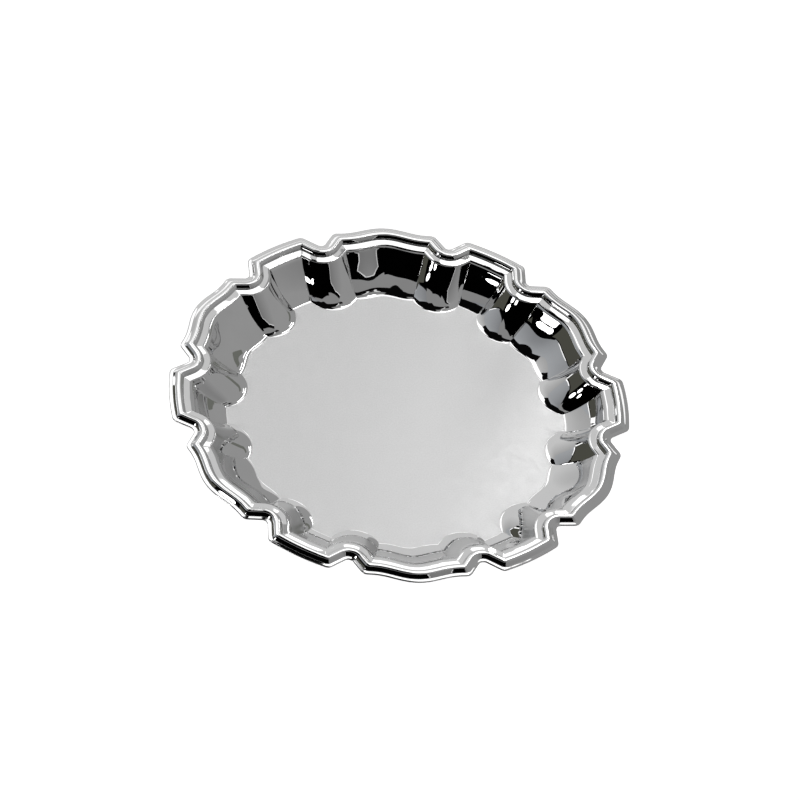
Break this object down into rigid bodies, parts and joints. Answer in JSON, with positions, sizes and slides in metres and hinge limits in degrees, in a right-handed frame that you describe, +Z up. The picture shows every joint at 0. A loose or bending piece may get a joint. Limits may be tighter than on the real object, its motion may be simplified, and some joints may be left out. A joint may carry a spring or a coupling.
{
  "type": "chippendale tray",
  "caption": "Round silver-plated presentation tray with a flat satin floor, a fluted mirror wall and a scalloped, ridged Chippendale border.",
  "frame": {"origin": "centre of the flat underside that the tray rests on", "axes": "+Z up out of the dish, +Y from the centre through the middle of a long lobe, +X through the middle of a short lobe"},
  "size_m": [0.2034, 0.2026, 0.0157],
  "materials": {
    "drawn_sheet": "silver plate: satin on the floor, mirror polish on the wall and the flange",
    "polished_moulding": "silver plate, mirror polish"
  },
  "bodies": {
    "root": {"tray_body": "drawn_sheet", "border_moulding": "polished_moulding"}
  },
  "joints": []
}
